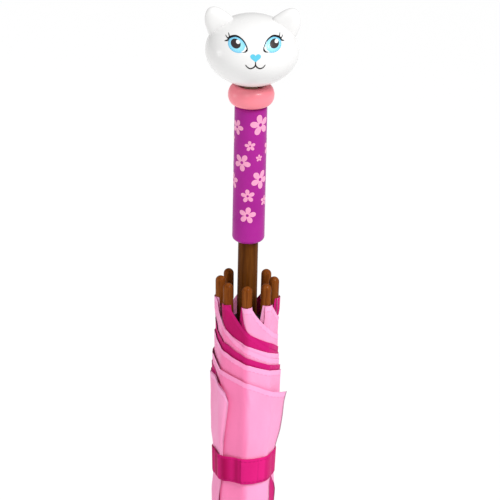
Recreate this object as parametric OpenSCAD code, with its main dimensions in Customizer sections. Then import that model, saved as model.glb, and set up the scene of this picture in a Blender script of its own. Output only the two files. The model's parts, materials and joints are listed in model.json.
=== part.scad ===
// Child's stick umbrella, closed and rolled, with its handle up.
// Origin at the foot of the ferrule, on the shaft's axis. +Z runs up to the handle.
// The cat's face looks towards -Y. Eight ribs, eight gores, a runner and two spring catches.

/* [Shaft] */
// Radius of the wooden shaft
shaft_r = 6; // [5.5:0.1:6]
// Length of the shaft and handle together, from the ferrule's foot to the handle's top
stick_length = 594; // [580:1:620]

/* [Ribs] */
// Length of a steel rib from its pivot in the crown to its end
rib_length = 430; // [425:1:436]
// Distance from a rib's pivot to its rivet, and the same again to the runner
link_length = 190; // [185:0.5:191]
// Lean of a closed rib from the shaft, in degrees
furled_lean = 0.88; // [0.84:0.02:0.96]
// Lean of an open rib from the shaft, in degrees
open_lean = 65; // [60:1:66]
// Radius of a turned wooden rib tip
rib_tip_r = 3.1; // [3:0.1:3.3]

/* [Canopy] */
// Thickness of a rolled gore, several layers of cloth
roll_thickness = 2.4; // [1.5:0.1:2.5]
// Height of the strap's middle above the ferrule's foot
strap_z = 362; // [340:1:380]
// Width of the strap
strap_width = 17; // [14:0.5:20]

/* [Handle] */
// Radius of the handle
handle_r = 9.7; // [9:0.1:10.5]
// Length of the handle
handle_length = 86; // [78:1:94]
// Outer radius of the collar ring
collar_r = 13.7; // [12.5:0.1:14]
// Height of the collar ring
collar_height = 12.2; // [10:0.2:15]

/* [Head] */
// Half width of the head
head_half_width = 28; // [26:0.5:30]
// Half height of the head
head_half_height = 21.5; // [20:0.5:23]

/* [Hidden] */
rib_count = 8;
rib_step = 360 / rib_count;
$fn = 96;

// Heights along the shaft
spigot_z = 8;
shaft_foot_z = 26;
cap_z = 31;
crown_base_z = 37;
crown_top_z = 50;
crown_z = 44;
handle_top_z = stick_length;
handle_z = handle_top_z - handle_length;
shaft_top_z = handle_top_z - 24;
collar_z = handle_top_z;
head_z = collar_z + collar_height + head_half_height - 0.2;

// The ribs and the runner
pivot_r = 9;
runner_z = crown_z + 2 * link_length * cos(furled_lean);
runner_open_z = crown_z + 2 * link_length * cos(open_lean);
runner_below = 4;
runner_above = 32;
runner_slot_r = 7.5;
wire_r = 0.5;
wire_groove_r = 0.6;
wire_groove_in = 8.4;
eye_hole_r = 0.65;
rib_start = 4;
rib_back = 1.6;
rib_front = -0.8;
rib_half_width = 1.5;
rib_wall = 0.5;
rivet_r = 0.6;
stretcher_half = 0.9;
stretcher_half_width = 0.85;
rib_tip_length = 20;
rib_tip_lap = 10;

// The spring catches, in the plane between ribs 5 and 6
catch_side = 112.5;
catch_thickness = 1.6;
catch_slot = 2;
catch_pin_r = 0.8;
catch_reach = 8.3;
catch_shoulder = 4.5;
catch_half = 2.5;
bottom_pin_z = runner_z - 22;
top_catch_z = runner_open_z + runner_above;
top_pin_z = top_catch_z + 40;
stop_pin_r = 1.2;
stop_pin_z = runner_open_z - runner_below - stop_pin_r - 0.1;

// The rolled canopy and its strap
gore_foot_z = 52;
gore_hem_z = 462;
gore_gap = 2;
gore_clearance = 0.5;
strap_inner_r = gore_inner_r(strap_z) + roll_thickness + 0.4;
strap_outer_r = strap_inner_r + 1;
tab_start = 254;
tab_end = 294.3;
tab_hinge = 296;

// The neck
neck_r = 4.2;
neck_top_z = head_z - 8;

// Azimuth of rib k: rib 1 is in front, the others follow anticlockwise from above
function rib_angle(k) = -90 + rib_step * (k - 1);

// Inner radius of the rolled cloth at height z, just outside the ribs
function gore_inner_r(z) = pivot_r + rib_back + gore_clearance + (z - crown_z) * tan(furled_lean);

// Places children in rib k's own axes: Z along the rib from its pivot, X outwards
module on_rib(k) {
    rotate([0, 0, rib_angle(k)])
    translate([pivot_r, 0, crown_z])
    rotate([0, furled_lean, 0])
    children();
}

// Places children in stretcher k's own axes: Z along it from its rivet, X outwards
module on_stretcher(k) {
    on_rib(k)
    translate([0, 0, link_length])
    rotate([0, -2 * furled_lean, 0])
    children();
}

// A tube's solid between two radii and two heights
module tube(r_in, r_out, z0, z1) {
    translate([0, 0, z0])
    difference() {
        cylinder(r = r_out, h = z1 - z0);
        translate([0, 0, -1]) cylinder(r = r_in, h = z1 - z0 + 2);
    }
}

// A box between two heights, centred across Y
module bar(x0, x1, half_width, z0, z1) {
    translate([x0, -half_width, z0]) cube([x1 - x0, 2 * half_width, z1 - z0]);
}

// A round pin or hole across Y, centred on x and z
module cross_pin(r, length, x = 0, z = 0) {
    translate([x, 0, z]) rotate([90, 0, 0]) cylinder(r = r, h = length, center = true);
}

// A ring of wire round the shaft
module wire_ring(z) {
    translate([0, 0, z])
    rotate_extrude()
    translate([pivot_r, 0])
    circle(r = wire_r, $fn = 24);
}

module shaft() {
    color("#9a5a2c")
    difference() {
        union() {
            translate([0, 0, spigot_z]) cylinder(r = 3, h = shaft_foot_z - spigot_z);
            translate([0, 0, shaft_foot_z]) cylinder(r = shaft_r, h = shaft_top_z - shaft_foot_z);
        }
        rotate([0, 0, catch_side]) {
            bar(-shaft_r - 1, shaft_r + 1, catch_slot / 2, runner_z - 28, runner_z + 24);
            bar(-shaft_r - 1, shaft_r + 1, catch_slot / 2, top_catch_z - 6, top_catch_z + 46);
            cross_pin(catch_pin_r, 2 * shaft_r + 2, z = bottom_pin_z);
            cross_pin(catch_pin_r, 2 * shaft_r + 2, z = top_pin_z);
            translate([0, 0, stop_pin_z])
            rotate([0, 90, 0])
            cylinder(r = stop_pin_r, h = 2 * shaft_r + 2, center = true);
        }
    }
}

// The wooden point: a rounded foot, a straight pin and a flare over the shaft's end
module ferrule() {
    foot_r = 3;
    pin_r = 4.5;
    flare_r = 8;
    foot = [for (a = [-90:15:0]) [pin_r - foot_r + foot_r * cos(a), foot_r + foot_r * sin(a)]];
    flare = [[pin_r, 20], [5.4, 22.5], [flare_r, 25], [flare_r, cap_z], [0, cap_z]];
    color("#8a4f28")
    difference() {
        rotate_extrude() polygon(concat([[0, 0]], foot, flare));
        translate([0, 0, spigot_z]) cylinder(r = 3, h = cap_z);
        translate([0, 0, shaft_foot_z]) cylinder(r = shaft_r, h = cap_z);
    }
}

// The turned cap that covers the middle of the cloth
module top_cap() {
    color("#8a4f28")
    rotate_extrude()
    polygon([[shaft_r, cap_z], [9, cap_z], [13, 35], [13, crown_base_z], [shaft_r, crown_base_z]]);
}

// The top notch: a slotted ring that the ribs' eyes sit in
module crown() {
    color("#d9d9dc")
    difference() {
        tube(shaft_r, 12, crown_base_z, crown_top_z);
        for (k = [1:rib_count]) {
            rotate([0, 0, rib_angle(k)]) bar(7.2, 13, 1.8, 41, crown_top_z + 1);
        }
        tube(wire_groove_in, 13, crown_z - wire_groove_r, crown_z + wire_groove_r);
    }
}

module crown_wire() {
    color("#b8bcc2") wire_ring(crown_z);
}

// The pin that stops the runner at the open place
module stop_pin() {
    color("#b8bcc2")
    rotate([0, 0, catch_side])
    translate([0, 0, stop_pin_z])
    rotate([0, 90, 0])
    cylinder(r = stop_pin_r, h = 16, center = true);
}

module catch_pins() {
    color("#b8bcc2")
    rotate([0, 0, catch_side]) {
        cross_pin(catch_pin_r, 11.6, z = bottom_pin_z);
        cross_pin(catch_pin_r, 11.6, z = top_pin_z);
    }
}

// A catch is a flat leaf in the shaft's slot, on a pin through its foot
module catch_leaf(outline, pin_z) {
    color("#c4c8ce")
    rotate([0, 0, catch_side])
    difference() {
        rotate([90, 0, 0]) linear_extrude(height = catch_thickness, center = true) polygon(outline);
        cross_pin(catch_pin_r + 0.05, catch_thickness + 2, z = pin_z);
    }
}

// Holds the runner while the umbrella is open
module top_catch() {
    z = top_catch_z;
    catch_leaf([
        [-catch_half, z + 44], [catch_half, z + 44], [catch_shoulder, z + 10], [catch_reach, z + 2],
        [catch_reach, z + 0.5], [catch_shoulder, z + 0.5], [catch_shoulder, z - 4], [0, z - 4],
        [-catch_half, z + 22]
    ], top_pin_z);
}

// Holds the runner while the umbrella is closed, through the runner's window
module bottom_catch() {
    z = runner_z;
    catch_leaf([
        [-catch_half, z - 26], [catch_half, z - 26], [catch_shoulder, z + 8], [catch_reach, z + 16],
        [catch_reach, z + 17.5], [catch_shoulder, z + 17.5], [catch_shoulder, z + 22], [0, z + 22],
        [-catch_half, z - 4]
    ], bottom_pin_z);
}

// The lacquered grip, with rounded edges at both ends
module handle() {
    edge = 2.5;
    low = [for (a = [-90:15:0]) [handle_r - edge + edge * cos(a), handle_z + edge + edge * sin(a)]];
    high = [for (a = [0:15:90]) [handle_r - edge + edge * cos(a), handle_top_z - edge + edge * sin(a)]];
    color("#a02890")
    difference() {
        rotate_extrude() polygon(concat([[0, handle_z]], low, high, [[0, handle_top_z]]));
        translate([0, 0, handle_z - 1]) cylinder(r = shaft_r, h = shaft_top_z - handle_z + 1);
        translate([0, 0, shaft_top_z]) cylinder(r = neck_r, h = handle_length);
    }
}

// The turned ring between the handle and the head
module collar_ring() {
    ring_r = 9.4;
    color("#f0627a")
    rotate_extrude()
    translate([ring_r, collar_z + collar_height / 2])
    polygon([for (a = [0:10:350]) [(collar_r - ring_r) * cos(a), collar_height / 2 * sin(a)]]);
}

module neck_dowel() {
    color("#e6d2b4")
    translate([0, 0, shaft_top_z])
    cylinder(r = neck_r, h = neck_top_z - shaft_top_z);
}

// The flattened wooden ball of the cat's head
module head() {
    outline = [for (a = [-90:5:90]) [head_half_width * cos(a), head_z + head_half_height * sin(a)]];
    color("#f7f5f2")
    difference() {
        rotate_extrude() polygon(outline);
        translate([0, 0, head_z - head_half_height - 1])
        cylinder(r = neck_r, h = neck_top_z - head_z + head_half_height + 1);
    }
}

// A rounded triangular ear; side is -1 for the one at -X and 1 for the other
module ear(side) {
    color("#f7f5f2")
    hull() {
        translate([side * 13, 0, head_z + 15]) sphere(r = 3.2, $fn = 32);
        translate([side * 24, 0, head_z + 22]) sphere(r = 5, $fn = 32);
        translate([side * 23, 0, head_z + 10]) sphere(r = 4.5, $fn = 32);
    }
}

module ear_left() {
    ear(-1);
}

module ear_right() {
    ear(1);
}

// The sleeve that slides on the shaft and carries the stretchers
module runner() {
    head_top = runner_z + 6;
    color("#d9d9dc")
    difference() {
        union() {
            translate([0, 0, runner_z - runner_below]) cylinder(r = 7.4, h = runner_below + runner_above);
            translate([0, 0, runner_z - runner_below]) cylinder(r = 11.5, h = head_top - runner_z + runner_below);
            translate([0, 0, runner_z + runner_above - 4]) cylinder(r = 9.5, h = 4);
        }
        translate([0, 0, runner_z - runner_below - 1])
        cylinder(r = shaft_r + 0.2, h = runner_below + runner_above + 2);
        for (k = [1:rib_count]) {
            rotate([0, 0, rib_angle(k)])
            bar(runner_slot_r, 12.5, 1.2, runner_z - runner_below - 1, runner_z + 2.2);
        }
        tube(wire_groove_in, 12.5, runner_z - wire_groove_r, runner_z + wire_groove_r);
        rotate([0, 0, catch_side]) bar(5, 9, 1.5, runner_z + 10.5, runner_z + 19.5);
    }
}

module runner_wire() {
    color("#b8bcc2") wire_ring(runner_z);
}

// A steel rib: an eye, a flat tongue and a channel whose open side faces the shaft
module rib(k) {
    color("#8f9399")
    on_rib(k)
    difference() {
        union() {
            cross_pin(1.6, 1.4);
            bar(-1.2, rib_back, 0.7, 0, rib_start + 1);
            bar(rib_front, rib_back, rib_half_width, rib_start, rib_length);
        }
        cross_pin(eye_hole_r, 4);
        bar(rib_front - 1, rib_back - rib_wall, rib_half_width - rib_wall, rib_start + 1, rib_length + 1);
        cross_pin(rivet_r, 4, z = link_length);
    }
}

// The turned wooden tip on a rib's end, with a hole for the sewing thread
module rib_tip(k) {
    r = rib_tip_r;
    dome = [for (a = [0:15:90]) [r * cos(a), rib_tip_length - r + r * sin(a)]];
    foot = [[0, 0], [r - 0.6, 0], [r, 0.6]];
    color("#a5602e")
    on_rib(k)
    translate([(rib_front + rib_back) / 2, 0, rib_length - rib_tip_lap])
    difference() {
        rotate_extrude($fn = 48) polygon(concat(foot, dome));
        translate([0, 0, -1]) cylinder(r = 2, h = rib_tip_lap + 1.2, $fn = 32);
        rotate([90, 0, 0]) translate([0, 2.5, 0]) cylinder(r = 0.5, h = 10, center = true, $fn = 24);
    }
}

// The rivet that joins a stretcher to its rib
module rivet(k) {
    head_height = 0.4;
    color("#b8bcc2")
    on_rib(k) {
        cross_pin(rivet_r, 2 * rib_half_width, z = link_length);
        for (side = [-1, 1]) {
            translate([0, side * (rib_half_width + head_height / 2), 0])
            cross_pin(1.1, head_height, z = link_length);
        }
    }
}

// A stretcher: a grooved bar from a rib's rivet to the runner's wire
module stretcher(k) {
    color("#8f9399")
    on_stretcher(k)
    difference() {
        union() {
            cross_pin(stretcher_half, 2 * stretcher_half_width);
            bar(-stretcher_half, stretcher_half, stretcher_half_width, 0, link_length);
            cross_pin(1.3, 2 * stretcher_half_width, z = link_length);
        }
        cross_pin(eye_hole_r, 4);
        cross_pin(eye_hole_r, 4, z = link_length);
        bar(-stretcher_half - 1, 0.3, 0.45, 6, link_length - 6);
    }
}

// One eighth of the rolled cloth, outside the ribs
module gore(k) {
    inner = [gore_inner_r(gore_foot_z), gore_inner_r(gore_hem_z)];
    shade = k % 2 == 1 ? "#f7a8d4" : "#c8186c";
    color(shade)
    rotate([0, 0, rib_angle(k) + gore_gap])
    rotate_extrude(angle = rib_step - 2 * gore_gap)
    polygon([
        [inner[0], gore_foot_z], [inner[0] + roll_thickness, gore_foot_z],
        [inner[1] + roll_thickness, gore_hem_z], [inner[1], gore_hem_z]
    ]);
}

// A curved band between two azimuths
module band(r_in, r_out, from, to, height) {
    rotate([0, 0, from])
    rotate_extrude(angle = to - from)
    translate([r_in, strap_z - height / 2])
    square([r_out - r_in, height]);
}

// The strap, sewn to the cloth at rib 1, with a thicker place where its free end starts
module strap() {
    color("#c8186c") {
        tube(strap_inner_r, strap_outer_r, strap_z - strap_width / 2, strap_z + strap_width / 2);
        band(strap_outer_r, strap_outer_r + 1.4, tab_hinge, tab_hinge + 8, strap_width - 2);
    }
}

// The strap's free end, which peels off
module strap_tab() {
    color("#d41f78") band(strap_outer_r + 0.7, strap_outer_r + 1.4, tab_start, tab_end, strap_width - 2);
}

// The fastener's pad under the free end
module strap_pad() {
    color("#8c1450") band(strap_outer_r, strap_outer_r + 0.6, tab_start + 2, tab_start + 18, strap_width - 5);
}

shaft();
ferrule();
top_cap();
crown();
crown_wire();
stop_pin();
catch_pins();
top_catch();
bottom_catch();
handle();
collar_ring();
neck_dowel();
head();
ear_left();
ear_right();
runner();
runner_wire();
strap();
strap_tab();
strap_pad();
for (k = [1:rib_count]) {
    rib(k);
    rib_tip(k);
    rivet(k);
    stretcher(k);
    gore(k);
}
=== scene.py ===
"""A child's rolled umbrella: cloth, wood, lacquer and a painted cat's face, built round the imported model."""

import json
import math

import bpy
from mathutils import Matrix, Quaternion, Vector


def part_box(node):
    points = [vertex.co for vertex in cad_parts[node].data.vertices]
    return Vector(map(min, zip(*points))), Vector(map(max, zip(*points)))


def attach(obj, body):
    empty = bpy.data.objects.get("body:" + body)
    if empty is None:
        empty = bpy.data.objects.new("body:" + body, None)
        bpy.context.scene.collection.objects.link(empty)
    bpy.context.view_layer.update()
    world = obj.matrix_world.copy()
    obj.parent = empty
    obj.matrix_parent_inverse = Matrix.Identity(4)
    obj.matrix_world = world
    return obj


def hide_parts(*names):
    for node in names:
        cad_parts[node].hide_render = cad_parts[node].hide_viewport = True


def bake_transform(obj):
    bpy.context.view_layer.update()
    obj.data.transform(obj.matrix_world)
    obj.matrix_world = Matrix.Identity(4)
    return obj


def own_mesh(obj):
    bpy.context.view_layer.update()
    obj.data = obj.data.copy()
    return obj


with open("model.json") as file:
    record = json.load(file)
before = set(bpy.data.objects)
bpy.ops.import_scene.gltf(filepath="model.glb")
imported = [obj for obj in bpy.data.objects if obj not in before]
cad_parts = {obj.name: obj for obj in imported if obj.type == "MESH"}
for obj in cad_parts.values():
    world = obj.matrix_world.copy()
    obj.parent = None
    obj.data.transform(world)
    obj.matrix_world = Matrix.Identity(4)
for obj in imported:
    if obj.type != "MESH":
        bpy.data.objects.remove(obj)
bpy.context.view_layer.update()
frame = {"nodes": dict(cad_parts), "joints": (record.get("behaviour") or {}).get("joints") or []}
MM = 0.001

# ---- sizes taken from the frame

RIBS = 8
RIB_STEP = math.tau / RIBS


def joint(name):
    """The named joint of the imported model."""
    return next(j for j in frame["joints"] if j["name"] == name)


def low(node):
    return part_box(node)[0]


def high(node):
    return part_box(node)[1]


PIVOT = Vector(joint("rib_1_open")["pos_m"])
PIVOT_R = abs(PIVOT.y)
CROWN_Z = PIVOT.z
CROWN_TOP = high("crown").z
CROWN_R = high("crown").x
RIVET = Vector(joint("stretcher_1_fold")["pos_m"])
# The closed ribs lean outwards by this angle
LEAN = math.atan2(abs(RIVET.y) - PIVOT_R, RIVET.z - CROWN_Z)
TIP_R = (high("rib_tip_1").x - low("rib_tip_1").x) / 2
TIP_LOW = low("rib_tip_1").z
HANDLE_LOW = low("handle").z
HANDLE_HIGH = high("handle").z
HANDLE_R = high("handle").x
# The head and the ears that show are this share of the CAD solids
HEAD_FIT = 0.982
HEAD_A = high("head").x * HEAD_FIT
HEAD_C = (high("head").z - low("head").z) / 2 * HEAD_FIT
HEAD_Z = (high("head").z + low("head").z) / 2
STRAP_LOW = low("strap").z
STRAP_HIGH = high("strap").z
STRAP_Z = (STRAP_LOW + STRAP_HIGH) / 2
STRAP_R = -low("strap").y

# How far a rib's back and its corners stand off its middle line
RIB_BACK = 1.6 * MM
RIB_CORNER = 2.2 * MM
CLOTH_ON_TIP = 0.35 * MM
# The cloth's corners are sewn on below the tops of the wooden tips, and its pleats start above the crown
CORNER_Z = high("rib_tip_1").z - 13 * MM
FOLD_FOOT = CROWN_TOP + 1 * MM


def rib_angle(k):
    """Azimuth of rib k; rib 1 is in front."""
    return -math.pi / 2 + RIB_STEP * (k - 1)


def smooth(t):
    """0 below 0, 1 above 1, and a smooth step between."""
    t = min(1.0, max(0.0, t))
    return t * t * (3 - 2 * t)


def unsmooth(w):
    """The t that smooth() takes to w."""
    return 0.5 - math.sin(math.asin(1 - 2 * w) / 3)


def bearing(angle):
    """An azimuth in degrees, from 0 to 360."""
    return math.degrees(angle) % 360


def polar(radius, angle, z):
    return Vector((radius * math.cos(angle), radius * math.sin(angle), z))


# ---- material helpers

def new_material(name):
    """A material with its principled shader and output; returns it with its node tree and shader."""
    mat = bpy.data.materials.new(name)
    mat.use_nodes = True
    tree = mat.node_tree
    return mat, tree, tree.nodes["Principled BSDF"]


def put(slot, value):
    """Gives a node's input a constant, or links a socket to it."""
    if isinstance(value, bpy.types.NodeSocket):
        slot.id_data.links.new(value, slot)
    else:
        slot.default_value = value


def feed(node, **values):
    """Puts values into a node's inputs; an underscore in an input's name stands for a space."""
    for key, value in values.items():
        put(node.inputs[key.replace("_", " ")], value)


def add(tree, kind, **properties):
    """Adds a node and sets its properties."""
    node = tree.nodes.new("ShaderNode" + kind)
    for key, value in properties.items():
        setattr(node, key, value)
    return node


def coordinates(tree, kind, scale=(1, 1, 1)):
    """Object or UV coordinates, scaled."""
    mapping = add(tree, "Mapping")
    feed(mapping, Vector=add(tree, "TexCoord").outputs[kind], Scale=scale)
    return mapping.outputs["Vector"]


def noise(vector, scale, detail, roughness=0.5):
    node = add(vector.id_data, "TexNoise")
    feed(node, Vector=vector, Scale=scale, Detail=detail, Roughness=roughness)
    return node.outputs["Fac"]


def ramp(fac, stops):
    """A colour ramp; stops are (position, colour) pairs."""
    node = add(fac.id_data, "ValToRGB")
    feed(node, Fac=fac)
    elements = node.color_ramp.elements
    while len(elements) < len(stops):
        elements.new(0.5)
    for element, (position, colour) in zip(elements, stops):
        element.position = position
        element.color = (*colour, 1)
    return node.outputs["Color"]


def remap(fac, low_in, high_in, low_out, high_out):
    node = add(fac.id_data, "MapRange")
    feed(node, Value=fac, From_Min=low_in, From_Max=high_in, To_Min=low_out, To_Max=high_out)
    return node.outputs["Result"]


def combine(operation, a, b):
    """A maths node of a socket and a second socket or number."""
    node = add(a.id_data, "Math", operation=operation)
    for slot, value in zip(node.inputs, (a, b)):
        put(slot, value)
    return node.outputs["Value"]


def times(a, b):
    return combine("MULTIPLY", a, b)


def wave(value, length):
    """A sine of the value, with the given wavelength."""
    return combine("SINE", times(value, math.tau / length), 0)


def bump(height, distance, strength, below=None):
    node = add(height.id_data, "Bump")
    feed(node, Height=height, Distance=distance, Strength=strength)
    if below is not None:
        feed(node, Normal=below)
    return node.outputs["Normal"]


def mix_colour(fac, a, b):
    """Mixes two colours, each a socket or an RGB triple."""
    node = add(fac.id_data, "Mix", data_type="RGBA")
    feed(node, Factor=fac)
    for slot, value in zip(node.inputs[6:8], (a, b)):
        put(slot, (*value, 1) if isinstance(value, tuple) else value)
    return node.outputs[2]


def darker(colour, share):
    return tuple(share * c for c in colour)


# ---- materials

def wood_material(name, dark, mid, light, gloss, grain_scale=1.0):
    """Varnished wood with its grain along Z."""
    mat, tree, shader = new_material(name)
    stretched = coordinates(tree, "Object", (1, 1, 0.045))
    broad = noise(stretched, 420 * grain_scale, 5, 0.6)
    fine = noise(stretched, 1900 * grain_scale, 3, 0.7)
    grain = combine("ADD", times(broad, 0.65), times(fine, 0.35))
    feed(shader,
         Base_Color=ramp(grain, [(0.33, dark), (0.5, mid), (0.68, light)]),
         Roughness=remap(fine, 0.3, 0.7, gloss, gloss + 0.12),
         Normal=bump(grain, 0.06 * MM, 0.5),
         Specular_IOR_Level=0.02, Coat_Weight=0.04, Coat_Roughness=0.12)
    return mat


def lacquer_material(name, colour, shade, roughness, shine=0.25, coat=0.12):
    """Thick gloss paint on turned wood: slightly uneven, with faint turning marks."""
    mat, tree, shader = new_material(name)
    plain = coordinates(tree, "Object")
    blotch = noise(plain, 60, 3)
    peel = noise(plain, 900, 2)
    rings = noise(coordinates(tree, "Object", (0.05, 0.05, 1)), 1500, 2)
    marks = bump(rings, 0.02 * MM, 0.35)
    feed(shader,
         Base_Color=mix_colour(blotch, colour, shade),
         Roughness=remap(blotch, 0.3, 0.7, roughness, roughness + 0.08),
         Normal=bump(peel, 0.02 * MM, 0.4, marks),
         Specular_IOR_Level=shine, Coat_Weight=coat, Coat_Roughness=0.08)
    return mat


PLAIN_THREAD = 0.5 * MM
SATIN_THREAD = 0.42 * MM
STITCH_LENGTH = 2.6 * MM
STITCH_HALF_WIDTH = 0.28 * MM
# How far each of these draws the colour of the cloth towards its deep colour, or its hem's colour
CLOUD_DEPTH = 0.24
WEAVE_DEPTH = 0.16
HEM_DEPTH = 0.4
STITCH_DEPTH = 0.35


def fabric_material(name, colour, deep, rim, hem, roughness=0.5, satin=False):
    """Woven polyester. UV is in metres, with V counted down from the hem, where the stitching runs.

    A vertex attribute, read below, holds painted shade: how far the cloth is drawn towards its deep colour
    where it should look shaded.
    """
    mat, tree, shader = new_material(name)
    split = add(tree, "SeparateXYZ")
    feed(split, Vector=coordinates(tree, "UV"))
    across = split.outputs["X"]
    down = split.outputs["Y"]
    thread = SATIN_THREAD if satin else PLAIN_THREAD
    weft = wave(down, thread)
    warp = wave(across, thread)
    if satin:
        weave = combine("ADD", weft, times(warp, 0.25))
    else:
        weave = times(weft, warp)
    cloud = noise(coordinates(tree, "Object", (1, 1, 0.4)), 45, 4)
    slub = noise(coordinates(tree, "UV", (1, 14, 1)), 260, 2)
    # Painted shade, stored on the points, is added on top of the random clouds of deeper tone
    painted_shade = add(tree, "Attribute", attribute_name="painted_shade").outputs["Fac"]
    depth = combine("MAXIMUM", remap(cloud, 0.4, 0.7, 0, CLOUD_DEPTH), painted_shade)
    base = mix_colour(depth, colour, deep)
    shade = combine("ADD", remap(weave, -1, 1, 0, 0.5), remap(slub, 0.3, 0.7, 0, 0.5))
    woven = mix_colour(times(shade, WEAVE_DEPTH), base, deep)

    off_row = combine("ABSOLUTE", combine("SUBTRACT", down, hem), 0)
    on_row = combine("LESS_THAN", off_row, STITCH_HALF_WIDTH)
    dash = combine("GREATER_THAN", wave(across, STITCH_LENGTH), -0.35)
    stitch = times(on_row, dash)
    folded = combine("LESS_THAN", down, hem)
    hemmed = mix_colour(times(folded, HEM_DEPTH), woven, rim)
    pucker = combine("ADD", stitch, times(folded, 0.8))
    threads = bump(weave, 0.03 * MM, 0.5)
    feed(shader,
         Base_Color=mix_colour(times(stitch, STITCH_DEPTH), hemmed, deep),
         Roughness=remap(slub, 0.3, 0.7, roughness - 0.06, roughness + 0.08),
         Normal=bump(pucker, 0.15 * MM, 0.6, threads),
         Specular_IOR_Level=0.03 if satin else 0.06,
         Sheen_Weight=0.0 if satin else 0.02, Sheen_Roughness=0.35)
    return mat


def metal_material(name, colour, roughness):
    """Plated steel with fine draw marks along Z."""
    mat, tree, shader = new_material(name)
    marks = noise(coordinates(tree, "Object", (1, 1, 0.03)), 2500, 3)
    feed(shader,
         Base_Color=mix_colour(marks, colour, darker(colour, 0.8)),
         Roughness=remap(marks, 0.3, 0.7, roughness, roughness + 0.15),
         Normal=bump(marks, 0.02 * MM, 0.3),
         Metallic=1)
    return mat


def plastic_material(name, colour):
    """Moulded plastic with a faint grain."""
    mat, tree, shader = new_material(name)
    grain = noise(coordinates(tree, "Object"), 1800, 2)
    feed(shader,
         Base_Color=mix_colour(grain, colour, darker(colour, 0.9)),
         Roughness=remap(grain, 0.3, 0.7, 0.3, 0.42),
         Normal=bump(grain, 0.03 * MM, 0.25),
         Specular_IOR_Level=0.15)
    return mat


def paint_material(name, colour):
    """Printed or brushed paint, a little uneven."""
    mat, tree, shader = new_material(name)
    patch = noise(coordinates(tree, "Object"), 500, 3)
    feed(shader,
         Base_Color=mix_colour(patch, colour, darker(colour, 0.88)),
         Roughness=remap(patch, 0.3, 0.7, 0.3, 0.38),
         Specular_IOR_Level=0.12, Coat_Weight=0.1, Coat_Roughness=0.1)
    return mat


IRIS_RAYS = 26


def iris_material():
    """The iris: turquoise with fine rays, darker at its rim; UV is polar, U round and V outwards."""
    mat, tree, shader = new_material("iris")
    split = add(tree, "SeparateXYZ")
    feed(split, Vector=coordinates(tree, "UV"))
    rings = [(0.35, (0.33, 0.76, 0.92)), (0.8, (0.19, 0.61, 0.86)), (1.0, (0.07, 0.40, 0.68))]
    ringed = ramp(split.outputs["Y"], rings)
    rays = remap(wave(split.outputs["X"], 1 / IRIS_RAYS), -1, 1, 0, 0.35)
    feed(shader, Base_Color=mix_colour(rays, ringed, (0.55, 0.90, 0.96)),
         Roughness=0.3, Specular_IOR_Level=0.2, Coat_Weight=0.15)
    return mat


LIGHT_PINK = (0.93, 0.365, 0.605)
HOT_PINK = (0.92, 0.175, 0.400)
MAGENTA = (0.585, 0.009, 0.170)
DEEP_MAGENTA = (0.42, 0.005, 0.100)
CANOPY_HEM = 3.5 * MM
STRAP_HEM = 1.5 * MM

SHAFT_WOOD = wood_material(
    "shaft_wood", (0.055, 0.014, 0.002), (0.105, 0.030, 0.003), (0.165, 0.054, 0.008), 0.34)
TIP_WOOD = wood_material(
    "tip_wood", (0.085, 0.018, 0.003), (0.185, 0.047, 0.006), (0.28, 0.085, 0.015), 0.2, grain_scale=1.6)
BARE_WOOD = wood_material("bare_wood", (0.45, 0.32, 0.20), (0.66, 0.52, 0.36), (0.80, 0.68, 0.52), 0.45)
HANDLE_PAINT = lacquer_material("handle_paint", (0.42, 0.020, 0.300), (0.31, 0.011, 0.225), 0.3, 0.08, 0.05)
COLLAR_PAINT = lacquer_material("collar_paint", (0.96, 0.265, 0.320), (0.92, 0.205, 0.265), 0.34, 0.6)
HEAD_PAINT = lacquer_material("head_paint", (0.83, 0.825, 0.82), (0.80, 0.795, 0.79), 0.2)
CANOPY_LIGHT = fabric_material("canopy_light", LIGHT_PINK, HOT_PINK, (0.96, 0.46, 0.76), CANOPY_HEM)
CANOPY_DARK = fabric_material("canopy_dark", MAGENTA, DEEP_MAGENTA, (0.62, 0.011, 0.190), CANOPY_HEM)
STRAP_SATIN = fabric_material("strap_satin", (0.74, 0.016, 0.215), (0.36, 0.003, 0.075), MAGENTA, STRAP_HEM,
                              roughness=0.45, satin=True)
FRAME_STEEL = metal_material("frame_steel", (0.26, 0.26, 0.27), 0.36)
BRIGHT_STEEL = metal_material("bright_steel", (0.66, 0.67, 0.69), 0.2)
# Black plastic, darkened further and tinted maroon as painted shade for the inside of the roll
FITTING_PLASTIC = plastic_material("fitting_plastic", (0.020, 0.012, 0.014))
PETAL_PAINT = paint_material("petal_paint", (0.92, 0.37, 0.58))
BLACK_PAINT = paint_material("black_paint", (0.006, 0.005, 0.006))
WHITE_PAINT = paint_material("white_paint", (0.92, 0.92, 0.92))
PUPIL_PAINT = paint_material("pupil_paint", (0.045, 0.035, 0.035))
NOSE_PAINT = paint_material("nose_paint", (0.13, 0.60, 0.80))
IRIS = iris_material()


# ---- mesh helpers

def new_object(name, data):
    """An object in the scene."""
    obj = bpy.data.objects.new(name, data)
    bpy.context.scene.collection.objects.link(obj)
    return obj


def mesh_object(name, points, faces, materials, uv=None, face_materials=None):
    """A smooth mesh object; uv has one pair for each point, face_materials one index for each face."""
    data = bpy.data.meshes.new(name)
    data.from_pydata([tuple(p) for p in points], [], faces)
    for material in materials:
        data.materials.append(material)
    for polygon in data.polygons:
        polygon.use_smooth = True
        if face_materials:
            polygon.material_index = face_materials[polygon.index]
    if uv:
        layer = data.uv_layers.new(name="UVMap")
        for loop in data.loops:
            layer.data[loop.index].uv = uv[loop.vertex_index]
    return new_object(name, data)


def set_painted_shade(obj, values):
    """Stores for each point how much painted shade darkens its cloth, for fabric_material()."""
    obj.data.attributes.new("painted_shade", "FLOAT", "POINT").data.foreach_set("value", values)


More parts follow.
